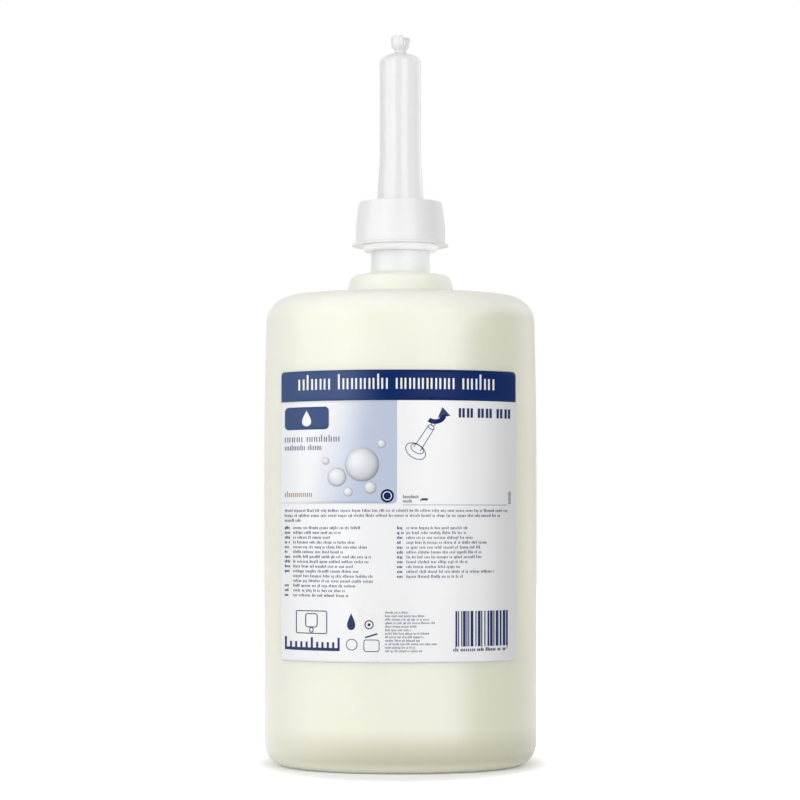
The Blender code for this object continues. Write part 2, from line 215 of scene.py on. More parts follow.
def objectAxes(tree):
    return addNode(tree, "SeparateXYZ", {"Vector": objectPlace(tree)}).outputs


def newGroup(name, inputs, outputs):
    # A node group with its sockets; inputs are (label, kind, value) and outputs (label, kind).
    group = bpy.data.node_groups.new(name, "ShaderNodeTree")
    for label, kind, value in inputs:
        socket = group.interface.new_socket(label, in_out="INPUT", socket_type=kind)
        if value is not None:
            socket.default_value = value
    for label, kind in outputs:
        group.interface.new_socket(label, in_out="OUTPUT", socket_type=kind)
    entry = group.nodes.new("NodeGroupInput")
    leave = group.nodes.new("NodeGroupOutput")
    return group, entry, leave


def makeMouldGrain():
    # Fine grain of a mould's wall: two noises, one small for the bump and one large for the gloss.
    group, entry, leave = newGroup(
        "mouldGrain",
        (("GrainScale", "NodeSocketFloat", 900.0), ("CloudScale", "NodeSocketFloat", 40.0)),
        (("Height", "NodeSocketFloat"), ("Cloud", "NodeSocketFloat")),
    )
    for scaleName, outName, detail in (("GrainScale", "Height", 3.0), ("CloudScale", "Cloud", 2.0)):
        inputs = {"Vector": objectPlace(group), "Scale": entry.outputs[scaleName], "Detail": detail}
        group.links.new(addNode(group, "TexNoise", inputs).outputs["Fac"], leave.inputs[outName])
    return group


def makeHeightFade():
    # 0 below Low and 1 above High, by the height on the object, with a soft S between.
    group, entry, leave = newGroup(
        "heightFade",
        (("Low", "NodeSocketFloat", 0.0), ("High", "NodeSocketFloat", 1.0)),
        (("Share", "NodeSocketFloat"),),
    )
    inputs = {
        "Value": objectAxes(group)["Z"], "From Min": entry.outputs["Low"], "From Max": entry.outputs["High"],
    }
    fade = addNode(group, "MapRange", inputs, interpolation_type="SMOOTHSTEP")
    group.links.new(fade.outputs["Result"], leave.inputs["Share"])
    return group


def makePaintedSideLight():
    # A mask for painted light and shade across the object: 0 left of From and 1 from there on by Soft, with
    # a soft S between. Above Top the line bends to the right, by Curve times the square of the height over
    # it.
    group, entry, leave = newGroup(
        "paintedSideLight",
        (("From", "NodeSocketFloat", 0.0), ("Soft", "NodeSocketFloat", 1.0), ("Top", "NodeSocketFloat", 0.0),
         ("Curve", "NodeSocketFloat", 0.0)),
        (("Share", "NodeSocketFloat"),),
    )

    def maths(operation, first, second):
        return addNode(group, "Math", {0: first, 1: second}, operation=operation).outputs[0]

    x, _, z = objectAxes(group)
    above = maths("MAXIMUM", maths("SUBTRACT", z, entry.outputs["Top"]), 0.0)
    bend = maths("MULTIPLY", maths("MULTIPLY", above, above), entry.outputs["Curve"])
    past = maths("SUBTRACT", x, maths("ADD", entry.outputs["From"], bend))
    inputs = {"Value": past, "From Max": entry.outputs["Soft"]}
    fade = addNode(group, "MapRange", inputs, interpolation_type="SMOOTHSTEP")
    group.links.new(fade.outputs["Result"], leave.inputs["Share"])
    return group


mouldGrain = makeMouldGrain()
heightFade = makeHeightFade()
paintedSideLight = makePaintedSideLight()


class Finish:
    # A material from its look: plain values on the shader, and fine grain in the relief where the look has
    # grain. The other methods are short ways to add nodes.
    def __init__(self, name, look):
        self.material = bpy.data.materials.new(name)
        self.material.use_nodes = True
        self.tree = self.material.node_tree
        self.shader = self.tree.nodes["Principled BSDF"]
        for socket, value in look["shader"].items():
            self.shader.inputs[socket].default_value = value
        if "grain" in look:
            grain = self.group(mouldGrain, **look["grain"])
            self.cloud = grain["Cloud"]
            strength, distance = look["relief"]
            relief = {"Strength": strength, "Distance": distance, "Height": grain["Height"]}
            self.feed("Normal", self.add("Bump", relief)["Normal"])

    def add(self, kind, inputs=(), **settings):
        return addNode(self.tree, kind, inputs, **settings).outputs

    def feed(self, socket, value):
        self.tree.links.new(value, self.shader.inputs[socket])

    def group(self, tree, **values):
        return self.add("Group", values, node_tree=tree)

    # the share of the mask for painted light and shade, from left to right
    def across(self, start, soft, **bend):
        return self.group(paintedSideLight, From=start, Soft=soft, **bend)["Share"]

    def upwards(self, low, high):
        return self.group(heightFade, Low=low, High=high)["Share"]

    def mix(self, share, *colours):
        first, second = ((*colour, 1.0) if isinstance(colour, tuple) else colour for colour in colours)
        return self.add("Mix", {"Factor": share, 6: first, 7: second}, data_type="RGBA")[2]

    def spread(self, value, low, high):
        # Noise lies mostly between 0.3 and 0.7, so that range is spread from low to high.
        inputs = {"Value": value, "From Min": 0.3, "From Max": 0.7, "To Min": low, "To Max": high}
        return self.add("MapRange", inputs)["Result"]


bottleLook = {
    "soap": (0.81, 0.805, 0.695),
    "cloud": (0.845, 0.84, 0.74),
    # painted shade: the right side, and under the shoulder, darker in the colour
    "shade": (0.735, 0.73, 0.60),
    "shadeFrom": 16.0 * mm,
    "shadeSoft": 11.5 * mm,
    "shadeTop": 142.0 * mm,
    "shadeCurve": 60.0,  # 1/m: how fast the shade's edge bends right under the shoulder
    # painted shade: the heel darker where it turns down from the light, with some of the deeper tint of its
    # thicker wall
    "heel": (0.585, 0.575, 0.447),
    "heelShadeFrom": -64.0 * mm,  # the heel's painted shade grows from here to the right
    "heelShadeSoft": 56.0 * mm,
    "heelShadeBand": (6.0 * mm, 16.0 * mm),  # each band is the height where a colour starts and where it is full
    # painted light: a pale rim under the heel's painted shade
    "rim": (0.85, 0.84, 0.71),
    "litRimBand": (1.0 * mm, 4.5 * mm),
    # painted highlight: the shoulder whiter where the top light reflects
    "shoulder": (0.86, 0.855, 0.785),
    "shoulderHighlightBand": (151.5 * mm, 156.5 * mm),
    "dome": (0.84, 0.85, 0.76),
    "domeBand": (160.6 * mm, 161.6 * mm),
    "neck": (0.79, 0.79, 0.785),
    # painted light: the neck's colour lighter at its right
    "neckRightPaintedLight": (0.89, 0.89, 0.885),
    "neckBand": (166.5 * mm, 176.0 * mm),
    "paintedLitFrom": -3.0 * mm,  # right of here the neck is painted lighter, as if light came through the hollow neck
    "paintedLitSoft": 10.0 * mm,
    # painted light: emission in the neck, stronger at its right and under the collar's lip
    "paintedGlowLeft": (0.03, 0.03, 0.03),
    "paintedGlowRight": (0.08, 0.08, 0.078),
    "paintedGlowBand": (160.8 * mm, 172.0 * mm),
    "paintedGlowUnderLip": (0.23, 0.23, 0.228),  # painted light: emission that lifts the shade under the collar's lip
    "underLipGlowBand": (176.2 * mm, 177.6 * mm),
    "gloss": (0.34, 0.42),  # the least and the most roughness
    "grain": {"GrainScale": 700.0, "CloudScale": 22.0},
    "relief": (0.12, 0.2 * mm),  # strength and height of the bump
    "shader": {
        "Base Color": (0.81, 0.805, 0.695, 1.0), "Roughness": 0.38, "Emission Strength": 1.0,
        "Subsurface Weight": 0.5, "Subsurface Radius": (0.9, 0.8, 0.5), "Subsurface Scale": 9 * mm,
        "Sheen Weight": 0.1, "Sheen Roughness": 0.4, "Coat Weight": 0.1, "Coat Roughness": 0.3,
    },
}


def makeBottleFinish():
    # Frosted film over cream soap, with painted light and shade: painted shade at the right, painted shade
    # with the thicker wall's tint in the heel, a painted light rim below it, a painted highlight over the
    # shoulder, greener in the dome, grey-white where no soap is, and the neck painted lighter and glowing at
    # its right and under the collar's lip.
    look = bottleLook
    made = Finish("bottleFilm", look)

    def below(band, tint, colour):
        return made.mix(made.upwards(*look[band]), tint, colour)

    def above(band, tint, colour):
        return made.mix(made.upwards(*look[band]), colour, tint)

    # painted shade at the right side
    shade = made.across(look["shadeFrom"], look["shadeSoft"], Top=look["shadeTop"], Curve=look["shadeCurve"])
    colour = made.mix(made.spread(made.cloud, 0.0, 1.0), look["soap"], look["cloud"])
    colour = made.mix(shade, colour, look["shade"])
    # painted shade in the heel, darker towards the right
    heel = made.mix(made.across(look["heelShadeFrom"], look["heelShadeSoft"]), look["soap"], look["heel"])
    colour = below("heelShadeBand", heel, colour)
    # painted light along the bottom rim
    colour = below("litRimBand", look["rim"], colour)
    # painted highlight over the shoulder
    colour = above("shoulderHighlightBand", look["shoulder"], colour)
    colour = above("domeBand", look["dome"], colour)
    # painted light: the neck lighter towards its right
    through = made.across(look["paintedLitFrom"], look["paintedLitSoft"])
    made.feed("Base Color", above("neckBand", made.mix(through, look["neck"], look["neckRightPaintedLight"]), colour))
    # painted light: the neck's glow, more under the collar's lip
    glow = above("underLipGlowBand", look["paintedGlowUnderLip"], made.mix(through, look["paintedGlowLeft"], look["paintedGlowRight"]))
    made.feed("Emission Color", above("paintedGlowBand", glow, (0.0, 0.0, 0.0)))
    made.feed("Roughness", made.spread(made.cloud, *look["gloss"]))
    return made.material


tubeLook = {
    # painted light: the right colours are lighter than the left, as if lit through the tube
    "left": ((0.72, 0.72, 0.723), (0.75, 0.75, 0.753)),  # between the streaks and in them
    "right": ((0.885, 0.885, 0.888), (0.915, 0.915, 0.918)),
    "paintedLitFrom": 1.0 * mm,  # right of here the tube is painted lighter, as if light from the far side filled it
    "paintedLitSoft": 4.5 * mm,
    "streaks": 260.0,
    "stretch": (1.0, 1.0, 0.06),
    "gloss": (0.36, 0.46),
    "grain": {"GrainScale": 1300.0, "CloudScale": 90.0},
    "relief": (0.06, 0.1 * mm),
    "shader": {
        "Base Color": (0.85, 0.85, 0.852, 1.0), "Roughness": 0.42,
        "Coat Weight": 0.7, "Coat Roughness": 0.16,
        "Subsurface Weight": 0.15, "Subsurface Radius": (1.0, 1.0, 1.0), "Subsurface Scale": 2 * mm,
    },
}


def makeTubeFinish():
    # Milky soft plastic: long flow streaks down the tube in its colour and gloss, and painted light that
    # makes its right side lighter.
    look = tubeLook
    made = Finish("softTube", look)
    place = made.add("Mapping", {"Vector": objectPlace(made.tree), "Scale": look["stretch"]})["Vector"]
    streaks = made.add("TexNoise", {"Vector": place, "Scale": look["streaks"], "Detail": 2.0})["Fac"]
    share = made.spread(streaks, 0.0, 1.0)
    # painted light: the right side lighter
    through = made.across(look["paintedLitFrom"], look["paintedLitSoft"])
    left, right = made.mix(share, *look["left"]), made.mix(share, *look["right"])
    made.feed("Base Color", made.mix(through, left, right))
    made.feed("Roughness", made.spread(streaks, *look["gloss"]))
    return made.material


def filmLook(colours, roughness=0.3, coat=0.2, specular=0.5, coatRoughness=0.22, **more):
    # The look of smooth label film with print: the colour hardly varies, the gloss a little more.
    return {
        "colours": colours, "gloss": (roughness - 0.03, roughness + 0.04),
        "grain": {"GrainScale": 2200.0, "CloudScale": 60.0}, "relief": (0.05, 0.05 * mm),
        "shader": {
            "Base Color": (*colours[0], 1.0), "Roughness": roughness, "Specular IOR Level": specular,
            "Coat Weight": coat, "Coat Roughness": coatRoughness,
        },
        **more,
    }


plainLooks = {
    "collarPlastic": {
        "colours": ((0.785, 0.785, 0.788), (0.815, 0.815, 0.818)), "gloss": (0.30, 0.37),
        "grain": {"GrainScale": 1500.0, "CloudScale": 120.0}, "relief": (0.08, 0.1 * mm),
        "shader": {
            "Base Color": (0.82, 0.82, 0.823, 1.0), "Roughness": 0.33,
            "Subsurface Weight": 0.4, "Subsurface Radius": (1.0, 1.0, 1.0), "Subsurface Scale": 3 * mm,
        },
    },
    "valvePlastic": {
        "colours": ((0.84, 0.85, 0.86), (0.84, 0.85, 0.86)), "gloss": (0.36, 0.45),
        "grain": {"GrainScale": 1500.0, "CloudScale": 150.0}, "relief": (0.06, 0.1 * mm),
        "shader": {"Base Color": (0.84, 0.85, 0.86, 1.0), "Roughness": 0.4},
    },
    "inkText": filmLook(((0.014, 0.032, 0.115), (0.018, 0.038, 0.13)), 0.35, 0.1, 0.15),
    "inkBold": filmLook(((0.008, 0.022, 0.10), (0.01, 0.026, 0.115)), 0.35, 0.1, 0.15),
    "inkGrey": filmLook(((0.06, 0.075, 0.16), (0.07, 0.085, 0.175)), 0.35, 0.1, 0.2),
    "inkGold": filmLook(((0.33, 0.22, 0.04), (0.37, 0.25, 0.05)), 0.35, 0.1, 0.3),
    "inkWhite": filmLook(((0.80, 0.80, 0.82), (0.82, 0.82, 0.84))),
}


def makePlainFinish(name):
    # The clouds of the grain move the colour a little, and the gloss.
    look = plainLooks[name]
    made = Finish(name, look)
    made.feed("Base Color", made.mix(made.cloud, *look["colours"]))
    made.feed("Roughness", made.spread(made.cloud, *look["gloss"]))
    return made.material


# shade is painted shade towards the label's right end
labelLook = filmLook(
    ((0.80, 0.80, 0.81), (0.82, 0.82, 0.83)), shade=(0.655, 0.655, 0.665), shadeFrom=25.0 * mm,
    shadeSoft=14.0 * mm,
)
navyLook = filmLook(  # its two colours are those of the left end and of the right: painted light at the left, painted shade at the right
    ((0.052, 0.086, 0.205), (0.003, 0.020, 0.110)), coat=0.07, specular=0.03, coatRoughness=0.24,
    turnFrom=-20.0 * mm, turnSoft=16.0 * mm,
)


def makeLabelFinish():
    # White film, darker towards its right end by painted shade.
    look = labelLook
    made = Finish("labelFilm", look)
    paper = made.mix(made.cloud, *look["colours"])
    # painted shade towards the right end
    share = made.across(look["shadeFrom"], look["shadeSoft"])
    made.feed("Base Color", made.mix(share, paper, look["shade"]))
    made.feed("Roughness", made.spread(made.cloud, *look["gloss"]))
    return made.material


def makeNavyFinish():
    # Dense dark blue print, painted lighter towards its left end and darker towards its right: painted light
    # and shade.
    look = navyLook
    made = Finish("inkNavy", look)
    # painted light at the left end and painted shade at the right
    share = made.across(look["turnFrom"], look["turnSoft"])
    made.feed("Base Color", made.mix(share, *look["colours"]))
    made.feed("Roughness", made.spread(made.cloud, *look["gloss"]))
    return made.material


panelLook = {
    "paper": (0.80, 0.81, 0.83),
    "sky": (0.445, 0.50, 0.625),
    "fadeStart": -31.0 * mm,
    "fadeEnd": -11.0 * mm,
    "slant": 0.25,  # the fade leans: it starts further left at the bottom
    "middle": 106.0 * mm,
    "shader": {"Roughness": 0.3, "Coat Weight": 0.2, "Coat Roughness": 0.22},
}


def makePanelFinish():
    # Pale blue print that fades from the paper's white, along a line that leans with height.
    look = panelLook
    made = Finish("printPanel", look)
    x, _, z = objectAxes(made.tree)
    shift = look["slant"] * look["middle"]
    lean = made.add("Math", {0: z, 1: -look["slant"], 2: x}, operation="MULTIPLY_ADD")[0]
    inputs = {"Value": lean, "From Min": look["fadeStart"] - shift, "From Max": look["fadeEnd"] - shift}
    fade = made.add("MapRange", inputs, interpolation_type="SMOOTHSTEP")["Result"]
    made.feed("Base Color", made.mix(fade, look["paper"], look["sky"]))
    return made.material


bubbleLook = {
    "edge": (0.24, 0.26, 0.30, 1.0),
    "body": (0.47, 0.49, 0.53, 1.0),
    "heart": (0.76, 0.77, 0.79, 1.0),
    "bodyStop": 0.35,
    "shader": {"Roughness": 0.3, "Coat Weight": 0.2, "Coat Roughness": 0.22},
}


def makeBubbleFinish():
    # Printed bubbles: the attribute shade runs from 0 at a rim to 1 at the bright spot.
    look = bubbleLook
    made = Finish("printBubbles", look)
    shade = made.add("Attribute", attribute_name="shade")["Fac"]
    ramp = addNode(made.tree, "ValToRGB", {"Fac": shade})
    stops = ramp.color_ramp.elements
    stops[0].color, stops[1].color = look["edge"], look["heart"]
    stops.new(look["bodyStop"]).color = look["body"]
    made.feed("Base Color", ramp.outputs["Color"])
    return made.material


bottleFilm = makeBottleFinish()
softTube = makeTubeFinish()
collarPlastic = makePlainFinish("collarPlastic")
valvePlastic = makePlainFinish("valvePlastic")
labelFilm = makeLabelFinish()
inkNavy = makeNavyFinish()
inkText = makePlainFinish("inkText")
inkBold = makePlainFinish("inkBold")
inkGrey = makePlainFinish("inkGrey")
inkGold = makePlainFinish("inkGold")
inkWhite = makePlainFinish("inkWhite")
panelPrint = makePanelFinish()
bubblePrint = makeBubbleFinish()
print("finishes made")


# Bottle

def bodyRow(z, inset):
    # The body's section at height z, drawn in from its widest outline.
    form = bottleForm
    return (z, form["halfWidth"] - inset, form["halfDepth"] - inset, form["exponent"])


def bodyRows():
    # Rows (z, half width, half depth, exponent) up the base, the heel, the side and the shoulder.
    form = bottleForm
    heel = form["heel"]
    inner = form["corner"] + form["restRing"]
    rows = []
    for share in np.linspace(0, 1, 12):  # the push-up, a shallow dish with a soft rim
        drop = (1 + math.cos(math.pi * share ** form["dishPower"])) / 2
        reach = form["halfDepth"] * form["dishReach"]
        rows.append(bodyRow(form["pushUp"] * drop, reach * (1 - share) + inner * share))
    for r, z in arcPoints((0, heel), heel, -90, 0, 14):
        rows.append(bodyRow(z, heel - r))
    corner = form["shoulder"] - form["corner"]
    for z in np.linspace(heel + 2 * mm, corner, 60)[:-1]:
        rows.append(bodyRow(z, float(sideInset(z))))
    for r, z in arcPoints((0, corner), form["corner"], 0, form["lastAngle"], 16):
        rows.append(bodyRow(z, form["draw"] + form["corner"] - r))
    outer = bodyRow(form["shoulder"], form["draw"] + form["corner"])
    footRadius = neckForm["domeFoot"] + neckForm["domeEdge"]
    innerRow = (domeFootZ, footRadius, footRadius, 2.0)
    for share in np.linspace(0, 1, 14):
        rise = math.sin(share * math.pi / 2)
        sizes = [a + (b - a) * share for a, b in zip(outer[1:], innerRow[1:])]
        rows.append((outer[0] + (innerRow[0] - outer[0]) * rise, *sizes))
    return rows


def neckRows():
    # Round rows up the dome, the neck, its ring and bead, over the rim and down the bore to the soap.
    form = neckForm
    bore, step = form["bore"], form["step"]
    corners = [
        (form["domeFoot"] + form["domeEdge"], domeFootZ),
        (form["domeFoot"] + step, domeFootZ + step),
        (form["domeTop"], domeTopZ - form["domeLip"]),
        (form["neck"] + step, domeTopZ + step),
        (form["neck"], ringBottomZ),
        (form["ring"] - form["ringTaper"], ringBottomZ),
        (form["ring"], ringTopZ),
        (form["finish"], ringTopZ),
        (form["finish"], rimZ),
        (bore, rimZ),
        (bore, ringBottomZ - form["fillDrop"]),
        (form["floorHole"], ringBottomZ - form["fillDrop"]),
    ]
    outline = roundedProfile(corners, np.array(form["rounds"]) * mm)
    return [(z, r, r, 2.0) for r, z in outline[1:]]


def makeBottle():
    # Every row is a superellipse whose exponent falls to 2, a circle, from the shoulder to the dome.
    form = bottleForm
    rows = np.array(bodyRows() + neckRows())
    around = np.arange(form["columns"]) * 2 * np.pi / form["columns"]
    z, a, b, n = (column[:, None] for column in rows.T)
    c, s = np.cos(around), np.sin(around)
    x = a * np.sign(c) * np.abs(c) ** (2 / n)
    y = b * np.sign(s) * np.abs(s) ** (2 / n)
    seam = np.exp(-((y / form["seamWidth"]) ** 2)) * (z > form["seamFoot"]) * (z < ringBottomZ)
    grow = 1 + form["seamProud"] * seam * (np.abs(x) > form["seamInner"]) / np.maximum(np.hypot(x, y), mm)
    limit = form["halfWidth"] / np.maximum(np.abs(x), mm)  # the seam stays inside the body's widest line
    grow = np.minimum(grow, np.maximum(limit, 1.0))
    points = np.stack([x * grow, y * grow, np.broadcast_to(z, x.shape)], axis=-1)
    made = gridMesh("bottleShell", points, wrap=True, poles=(True, True), material=bottleFilm)
    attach(made, rootBody)
    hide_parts("bottle")
    return made


makeBottle()
print("bottle made")


# Collar

collarForm = {
    "radius": 15.45 * mm,
    "topRadius": 14.3 * mm,
    "top": 193.4 * mm,
    "plate": 1.6 * mm,
    "bulge": 10.6 * mm,  # how far down the side its taper runs
    "bottom": 178.6 * mm,
    "lipReach": 1.2 * mm,
    "lipThickness": 0.5 * mm,
    "lipDroop": 0.4 * mm,
    "hole": 8.3 * mm,
    "inside": 13.0 * mm,
    "hook": 12.0 * mm,
    "hookHeight": 1.2 * mm,
    "hookSlope": 0.3 * mm,
    "edgeDrop": 0.6 * mm,  # from the top to where the taper starts
    "edgeRound": 0.8 * mm,
    "footRound": 0.5 * mm,
    "lipRound": 0.15 * mm,
    "round": 0.3 * mm,
    "step": 0.1 * mm,
    "columns": 192,
}


def makeCollar():
    # A closed outline turned round the axis: the side widens downwards by a quarter sine over its taper.
    form = collarForm
    lipTop = form["bottom"] + form["lipThickness"]
    lip, droop = form["radius"] + form["lipReach"], form["lipDroop"] - form["step"]
    share = np.linspace(0, 1, 15)
    side = form["topRadius"] + (form["radius"] - form["topRadius"]) * np.sin(share * np.pi / 2)
    heights = form["top"] - form["edgeDrop"] - share * form["bulge"]
    corners = [
        (form["hole"], form["top"] - form["plate"]),
        (form["hole"], form["top"]),
        (form["topRadius"] - form["step"], form["top"]),
        *zip(side, heights),
        (form["radius"], lipTop),
        (lip, lipTop - droop),
        (lip, form["bottom"] - droop),
        (form["radius"] - 2 * form["step"], form["bottom"]),
        (form["hook"], form["bottom"]),
        (form["hook"], form["bottom"] + form["hookHeight"]),
        (form["inside"], form["bottom"] + form["hookHeight"] + form["hookSlope"]),
        (form["inside"], form["top"] - form["plate"]),
        (form["hole"], form["top"] - form["plate"]),
    ]
    plain = form["round"]
    radii = [plain, form["edgeRound"], *[plain] * len(side), form["footRound"]]
    radii += [form["lipRound"]] * 2 + [plain] * 5
    outline = roundedProfile(corners, radii)[1:]
    points = turnedGrid(outline[::-1], form["columns"])
    points = np.concatenate([points, points[:1]])
    made = gridMesh("collarShell", points, wrap=True, material=collarPlastic)
    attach(made, rootBody)
    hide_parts("collar")
    return made


makeCollar()
print("collar made")


# Pump tube

tubeForm = {
    "radius": 7.15 * mm,
    "root": 8.0 * mm,
    "wall": 1.0 * mm,
    "foot": 193.4 * mm,
    "flare": 17.5 * mm,
    "shoulder": 242.4 * mm,
    "cone": 2.6 * mm,
    "flangeBottom": 189.9 * mm,
    "flangeTop": 191.5 * mm,
    "flange": 11.3 * mm,
    "tipNeck": 2.05 * mm,
    "tipLength": 0.6 * mm,
    "knob": 3.25 * mm,
    "knobHeight": 5.2 * mm,
    "knobFoot": 1.9 * mm,
    "knobStep": 0.9 * mm,
    "knobStepPlace": 0.9 * mm,
    "flutes": 8,
    "fluteDepth": 0.16 * mm,
    "fluteFrom": 0.8 * mm,  # over the knob's foot, and the length over which the flutes grow
    "fluteInside": 2.2 * mm,
    "stepSoft": 0.3 * mm,
    "conePoint": (0.72, 0.62),  # a point on the cone, as shares of the radius and of the cone's height
    "nozzle": 0.9 * mm,
    "nozzleEnd": 0.3 * mm,
    "rounds": (0.7, 0.5, 0.3, 0.2, 0.9, 0.9),  # mm, at the outline's first corners
    "round": 0.3 * mm,
    "columns": 160,
}


def tubeRadius(z):
    # The outside of the tube: a half cosine from its root to its straight length.
    form = tubeForm
    share = np.clip((z - form["foot"]) / form["flare"], 0, 1)
    return form["radius"] + (form["root"] - form["radius"]) * (1 + np.cos(np.pi * share)) / 2


def makeTube():
    # One closed outline, outside and inside, turned round the axis; its knob is then fluted and stepped.
    form = tubeForm
    tip = form["shoulder"] + form["cone"]
    knobBottom = tip + form["tipLength"]
    knobTop = knobBottom + form["knobHeight"]
    inside = form["radius"] - form["wall"]
    coneWide, coneHigh = form["conePoint"]
    levels = np.linspace(form["foot"] + form["flare"], form["foot"] - 0.5 * mm, 24)
    outer = [
        (0.0, knobTop),
        (form["knob"], knobTop),
        (form["knob"], knobBottom + form["knobFoot"]),
        (form["tipNeck"], knobBottom),
        (form["tipNeck"], tip),
        (coneWide * form["radius"], form["shoulder"] + coneHigh * form["cone"]),
        (form["radius"] - 0.05 * mm, form["shoulder"] + 0.1 * mm),
        *[(float(tubeRadius(z)), z) for z in np.linspace(form["shoulder"] - 1.5 * mm, levels[0], 12)[:-1]],
        *[(float(tubeRadius(z)), z) for z in levels],
        (form["root"], form["flangeTop"]),
        (form["flange"], form["flangeTop"]),
        (form["flange"], form["flangeBottom"]),
        (form["root"] - form["wall"], form["flangeBottom"]),
    ]
    radii = [radius * mm for radius in form["rounds"]]
    radii += [form["round"]] * (len(outer) - 2 - len(radii))
    inner = [
        *[(float(tubeRadius(z)) - form["wall"], z) for z in levels[::-1]],
        (inside, form["shoulder"] - 1.2 * mm),
        (0.7 * form["radius"] - form["wall"], form["shoulder"] + 0.8 * mm),
        (form["nozzle"], form["shoulder"] + 1.5 * mm),
        (form["nozzle"], tip - form["nozzleEnd"]),
        (0.0, tip - form["nozzleEnd"]),
    ]
    outline = np.concatenate([roundedProfile(outer, radii), np.array(inner)])
    outline[:, 0] = np.maximum(outline[:, 0], 0.02 * mm)
    points = turnedGrid(outline[::-1], form["columns"])
    x, y, z = points[..., 0], points[..., 1], points[..., 2]
    radius = np.hypot(x, y)
    # flutes: the knob's radius drops by a raised cosine, eight times round
    grown = np.clip((z - knobBottom - form["fluteFrom"]) / form["fluteFrom"], 0, 1)
    onKnob = grown * (radius > form["fluteInside"])
    wave = np.clip(-np.cos(np.arctan2(y, x) * form["flutes"]), 0, 1) ** 2
    shrink = 1 - form["fluteDepth"] * wave * onKnob / np.maximum(radius, mm)
    # step: past its place the knob's top is pressed down
    past = np.clip((x - form["knobStepPlace"]) / form["stepSoft"] + 0.5, 0, 1)
    stepTop = knobTop - form["knobStep"] * past
    z = np.where(z > knobBottom + form["knobFoot"], np.minimum(z, stepTop), z)
    points = np.stack([x * shrink, y * shrink, z], axis=-1)
    made = gridMesh("pumpTubeShell", points, wrap=True, poles=(True, True), material=softTube)
    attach(made, rootBody)
    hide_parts("pump_tube")
    return made


makeTube()
valve = frame["nodes"]["valve_stem"]
valve.data.materials.clear()
valve.data.materials.append(valvePlastic)
print("pump made")


# Label film and its print. Places on it are x across and z up, in metres, as seen from the front.

labelForm = {
    "left": -39.9 * mm,
    "right": 38.55 * mm,
    "bottom": 37.1 * mm,
    "top": 133.4 * mm,
    "lift": 0.2 * mm,
    "thickness": 0.15 * mm,
    "corner": 1.1 * mm,
    "columns": 180,
    "rows": 120,
}
printLift = labelForm["lift"] + labelForm["thickness"] + 0.02 * mm
inkThickness = 0.03 * mm
cellWidth = 1.6 * mm  # the widest cell of a printed box
aboveInk = printLift + inkThickness + 0.02 * mm
aboveBoth = aboveInk + 0.05 * mm


def asFilm(made, thickness=inkThickness):
    # A patch turns its front out of the body, gets its thickness outwards and rides the body.
    if made.data.polygons[0].normal.y > 0:
        made.data.flip_normals()
    solid = made.modifiers.new("thickness", "SOLIDIFY")
    solid.thickness = thickness
    solid.offset = 1.0
    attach(made, rootBody)
    return made


def cornerInset(xs, left, right, leftRadius, rightRadius):
    # How much a patch's end is cut back at x by the round corner that is nearest on each side.
    inset = np.zeros_like(xs)
    for reach, radius in ((xs - left, leftRadius), (right - xs, rightRadius)):
        if radius:
            near = np.clip(radius - reach, 0, radius)
            inset += radius - np.sqrt(np.clip(radius**2 - near**2, 0, None))
    return inset


def filmPatch(name, left, right, bottom, top, lift, material, thickness, corners=(0, 0, 0, 0), cells=None):
    # A patch of film on the body's front, a grid over x and z. corners are the radii at the bottom left,
    # bottom right, top right and top left.
    if cells is None:
        cells = max(4, int((right - left) / (0.6 * mm))), max(4, int((top - bottom) / (1.2 * mm)))
    across, up = cells
    radius = max(corners)
    ease = radius * (1 - np.cos(np.linspace(0, np.pi / 2, 9)))
    middle = np.linspace(left + radius, right - radius, across)[1:-1]
    xs = np.concatenate([left + ease, middle, right - ease[::-1]])
    low = bottom + cornerInset(xs, left, right, corners[0], corners[1])
    high = top - cornerInset(xs, left, right, corners[3], corners[2])
    share = np.linspace(0, 1, up + 1)[:, None]
    z = low * (1 - share) + high * share
    x = np.broadcast_to(xs, z.shape)
    return asFilm(gridMesh(name, frontPoint(x, z, lift), material=material), thickness)


def inkedBoxes(name, boxes, material, lift=printLift):
    # Many small printed rectangles as one mesh; boxes is (count, 4) of left, right, bottom, top. Each is cut
    # across into enough cells to follow the body.
    boxes = np.asarray(boxes, float)
    longest = (boxes[:, 1] - boxes[:, 0]).max()
    cuts = max(1, math.ceil(longest / cellWidth))
    share = np.linspace(0, 1, cuts + 1)
    x = boxes[:, 0:1] + (boxes[:, 1:2] - boxes[:, 0:1]) * share
    low = np.repeat(boxes[:, 2:3], cuts + 1, axis=1)
    high = np.repeat(boxes[:, 3:4], cuts + 1, axis=1)
    points = np.stack([frontPoint(x, low, lift), frontPoint(x, high, lift)], axis=1)
    index = np.arange(len(boxes) * 2 * (cuts + 1)).reshape(-1, 2, cuts + 1)
    quads = np.stack([index[:, 0, :-1], index[:, 0, 1:], index[:, 1, 1:], index[:, 1, :-1]], axis=-1)
    return asFilm(meshObject(name, points.reshape(-1, 3), quads.reshape(-1, 4).tolist(), material))


def inkedRings(name, x, z, material, lift, filled):
    # Rings of points on the label, from the rim inwards, skinned as one shape.
    points = frontPoint(x, z, lift)
    return asFilm(gridMesh(name, points, wrap=True, poles=(False, filled), material=material))


def discPoints(centre, radii, sides=64):
    # Rings of points round a centre on the label, one for each radius.
    around = -np.arange(sides) * 2 * np.pi / sides
    radii = np.asarray(radii)[:, None]
    return centre[0] + radii * np.cos(around), centre[1] + radii * np.sin(around)


